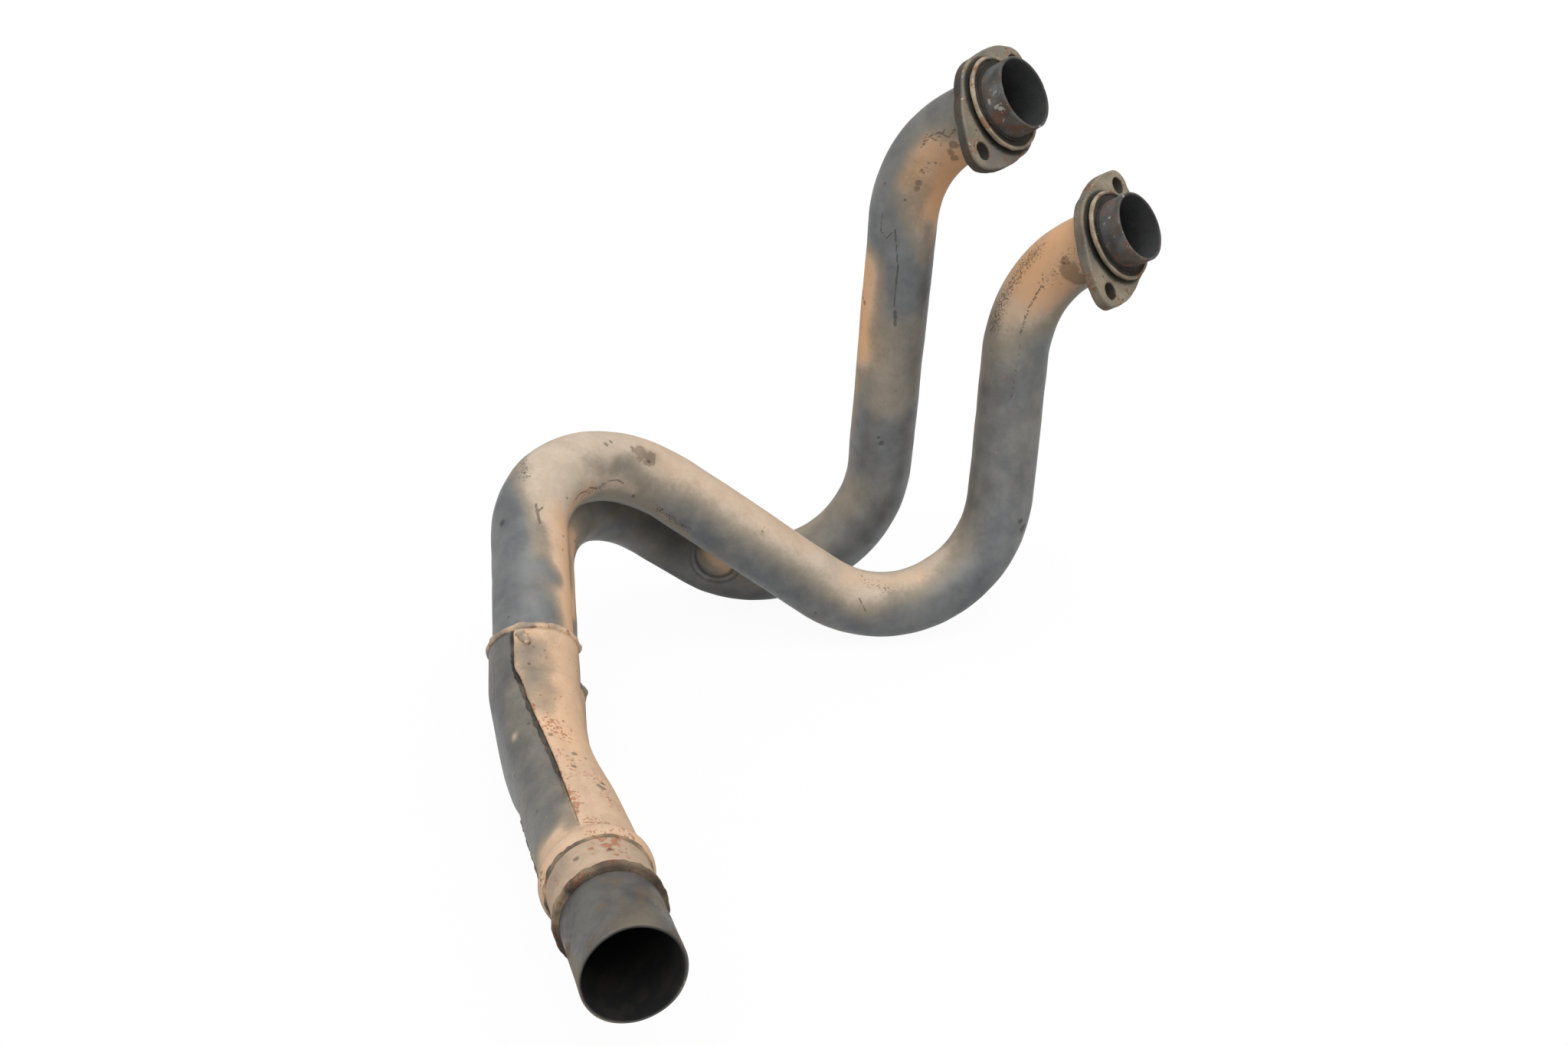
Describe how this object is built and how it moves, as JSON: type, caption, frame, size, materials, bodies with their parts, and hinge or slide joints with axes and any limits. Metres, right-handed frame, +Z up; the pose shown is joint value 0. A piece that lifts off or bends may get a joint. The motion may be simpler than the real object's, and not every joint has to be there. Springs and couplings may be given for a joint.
{
  "type": "motorcycle exhaust header",
  "caption": "Motorcycle exhaust header: bent pipes run from swivelling port flanges into a pressed collector that narrows to a plain outlet tube.",
  "frame": {"origin": "centre of the bounding box, on the surface that the header rests on", "axes": "+Z up as it rests on a bench, +Y away from the outlet, +X toward the port side"},
  "size_m": [0.3487, 0.4431, 0.328],
  "materials": {
    "header_pipe": "dull steel under thin tan dirt",
    "flange_plate": "pitted, rusting at the edges",
    "port_collar": "dull, stained tan",
    "dark_weld": "dark and sooty",
    "tan_weld": "rough bead under tan dirt",
    "grey_shell": "dull grey, mottled",
    "tan_shell": "tan dirt with rust specks",
    "neck_sleeve": "tan dirt with rust streaks",
    "rusty_ring": "rusty brown",
    "outlet_steel": "dark, scuffed"
  },
  "bodies": {
    "header": {"upper_header_pipe": "header_pipe", "lower_header_pipe": "header_pipe", "upper_port_collar": "port_collar", "lower_port_collar": "port_collar", "upper_collar_weld": "dark_weld", "lower_collar_weld": "dark_weld", "upper_inlet_weld": "tan_weld", "lower_inlet_weld": "tan_weld", "collector_left_shell": "grey_shell", "collector_right_shell": "tan_shell", "front_seam_weld": "tan_weld", "back_seam_weld": "tan_weld", "neck_weld": "tan_weld", "outlet_sleeve": "neck_sleeve", "stop_ring": "rusty_ring", "outlet_tube": "outlet_steel"},
    "lower_plate": {"lower_flange": "flange_plate"},
    "upper_plate": {"upper_flange": "flange_plate"}
  },
  "joints": [
    {"name": "lower_flange_swivel", "type": "hinge", "parent": "header", "child": "lower_plate", "pos_m": [0.1469, 0.16987, 0.23063], "axis": [0.6516, -0.5628, 0.5087], "continuous": true},
    {"name": "upper_flange_swivel", "type": "hinge", "parent": "header", "child": "upper_plate", "pos_m": [0.07819, 0.1579, 0.29974], "axis": [0.6523, -0.5629, 0.5077], "continuous": true}
  ]
}
